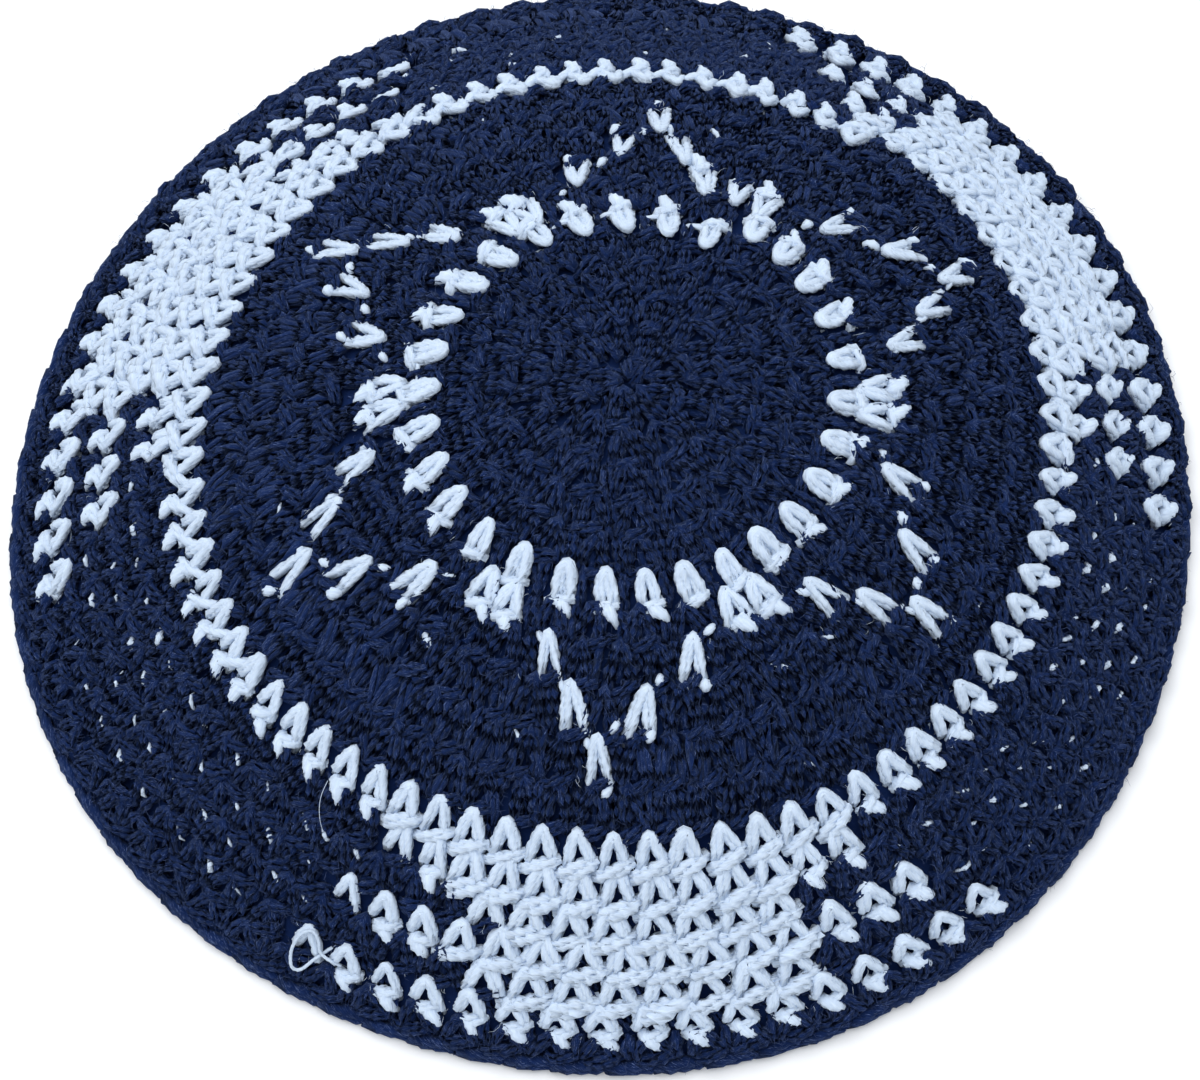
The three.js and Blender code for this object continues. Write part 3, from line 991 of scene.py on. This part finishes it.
core_material, tree, shader = new_material("navy_inner_cloth")
core_place = add_node(tree, "ShaderNodeTexCoord").outputs["Object"]
core_noise = add_node(tree, "ShaderNodeTexNoise", Vector=core_place, Scale=1800.0, Detail=3.0).outputs["Fac"]
# partly painted light: both navies are lighter than the yarn's own, standing in for light scattered into the gaps
# between the stitches; the noise between them is the cloth's grain
core_colour_with_painted_light = add_node(tree, "ShaderNodeMix", {"data_type": "RGBA"})
tree.links.new(core_noise, core_colour_with_painted_light.inputs[0])
core_colour_with_painted_light.inputs[6].default_value = (0.0060, 0.0155, 0.064, 1)
core_colour_with_painted_light.inputs[7].default_value = (0.011, 0.027, 0.104, 1)
tree.links.new(core_colour_with_painted_light.outputs[2], shader.inputs["Base Color"])
core_bump = add_node(tree, "ShaderNodeBump", Strength=0.6, Distance=0.2 * MM, Height=core_noise)
tree.links.new(core_bump.outputs["Normal"], shader.inputs["Normal"])
shader.inputs["Roughness"].default_value = 1.0
shader.inputs["Specular IOR Level"].default_value = 0.03
core_mesh.materials.append(core_material)
cloth_core = bpy.data.objects.new("cloth_core", core_mesh)
bpy.context.scene.collection.objects.link(cloth_core)
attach(cloth_core, "root")
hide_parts("crown")

# %% Backs of the stitches
BACK_BAR = (
    (-2.9, 0.70, -1.80, 0.70),
    (-1.4, 0.80, -2.15, 0.92),
    (0.0, 0.86, -2.25, 0.98),
    (1.4, 0.92, -2.15, 0.92),
    (2.9, 1.00, -1.80, 0.70),
)
BACK_LEG = (
    (-1.9, 0.74, -1.70, 0.70),
    (-1.4, 0.44, -2.05, 0.90),
    (0.0, 0.14, -2.10, 0.94),
    (1.4, 0.40, -2.05, 0.90),
    (1.7, 0.70, -1.70, 0.70),
)
for name, is_white in (("navy", False), ("white", True)):
    chosen = np.flatnonzero(white == is_white)
    wind("inside_bars_" + name, draw(BACK_BAR, chosen), name + "_yarn", 3, sides=4)
    wind("inside_legs_" + name, draw(BACK_LEG, chosen), name + "_yarn", 4, sides=4)

# %% [markdown]
# ## The edging
# The last round is a chain of loops that lies round the rim like a rope, and the cap rests on
# it. Each loop starts inside the one before it and splits into an upper and a lower strand.

# %% Edging loops
EDGING_STITCHES = 78
EDGING_LOOP = (  # share of a stitch along the rim, degrees round the rope, share of its radius, radius
    (1.30, 60, 0.10, 0.75),
    (1.02, 75, 0.52, 0.92),
    (0.66, 62, 0.62, 0.98),
    (0.30, 30, 0.55, 0.92),
    (0.04, 0, 0.30, 0.80),
    (0.30, -30, 0.55, 0.92),
    (0.66, -52, 0.62, 0.98),
    (1.02, -55, 0.52, 0.92),
    (1.30, -50, 0.10, 0.75),
)
EDGING_BACK = (
    (-0.10, 100, 0.55, 0.80),
    (0.30, 150, 0.62, 0.95),
    (0.70, 190, 0.62, 0.95),
    (1.10, 240, 0.55, 0.80),
)


def edging_strands(shape, wander=0.04):
    share, around, out, radius = np.array(shape).T
    loops = np.arange(EDGING_STITCHES)[:, None]
    bent = chance.normal(0, wander, (EDGING_STITCHES, len(shape), 2))
    angle = ROUND_START + (loops + share[None] + bent[..., 0]) * FULL_TURN / EDGING_STITCHES
    around = np.radians(around)[None] + bent[..., 1]
    reach = out * EDGING_RADIUS
    rope = place(RIM_RADIUS - EDGING_RADIUS + reach * np.cos(around),
                 EDGING_HEIGHT + reach * np.sin(around), angle) + cap_shift
    thickness = radius[None] * (1 + chance.normal(0, 0.04, (EDGING_STITCHES, 1)))
    rope[..., 2] = np.maximum(rope[..., 2], thickness + 0.05)
    return rope, thickness, chance.random(EDGING_STITCHES)


edging_loops = wind("edging_loops", edging_strands(EDGING_LOOP), "navy_yarn", 9, lay=6.0)
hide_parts("edging")
wind("edging_backs", edging_strands(EDGING_BACK), "navy_yarn", 5, lay=6.0)

# %% [markdown]
# ## Fuzz
# Cotton yarn sheds fine fibres, which catch the light on the navy and soften every edge. They
# are short, bent hairs close to the cloth. A particle system would grow them too, but the
# strands' own nodes can draw them from a few points each, at random but always the same.


# %% Fine fibres on the cloth
def hairs(chosen, total, usual_length, usual_lift, radius):
    """Paths of fine fibres that start at random places of the chosen stitches."""
    home = chance.choice(chosen, total)
    along = chance.uniform(-0.5, 0.5, total) * width[home]
    out = chance.uniform(0.0, 1.1, total) * height[home]
    heading = FULL_TURN / 4 + chance.normal(0, 0.8, total)
    bend = chance.normal(0, 0.30, total)
    step = usual_length * chance.lognormal(0, 0.45, total) / 3
    top = usual_lift * chance.lognormal(0, 0.3, total)
    points = []
    for rise in (0.5, 0.9, 1.0, 0.8):
        length = start[home] + out
        angle = azimuth[home] + along / np.maximum(radius_at(np.maximum(length, 0)), 2.0)
        points.append(cloth_point(length, angle, 0.5 + top * rise))
        along = along + np.cos(heading) * step
        out = out + np.sin(heading) * step
        heading = heading + bend
    thickness = radius * np.array([0.8, 1.0, 0.8, 0.4])[None] * np.ones((total, 1))
    return np.stack(points, 1), thickness, chance.random(total)


navy_all, white_all = np.flatnonzero(~white), np.flatnonzero(white)
for name, total in (("navy_fuzz", 7600), ("navy_fuzz_low", 6400)):
    wind(name, hairs(navy_all, total, 1.0, 0.95 if name == "navy_fuzz" else 0.6, 0.026), "navy_fuzz", 2, sides=3, groove=0)
wind("white_fuzz", hairs(white_all, 1000, 0.7, 0.75, 0.020), "white_fuzz", 3, sides=3, groove=0)
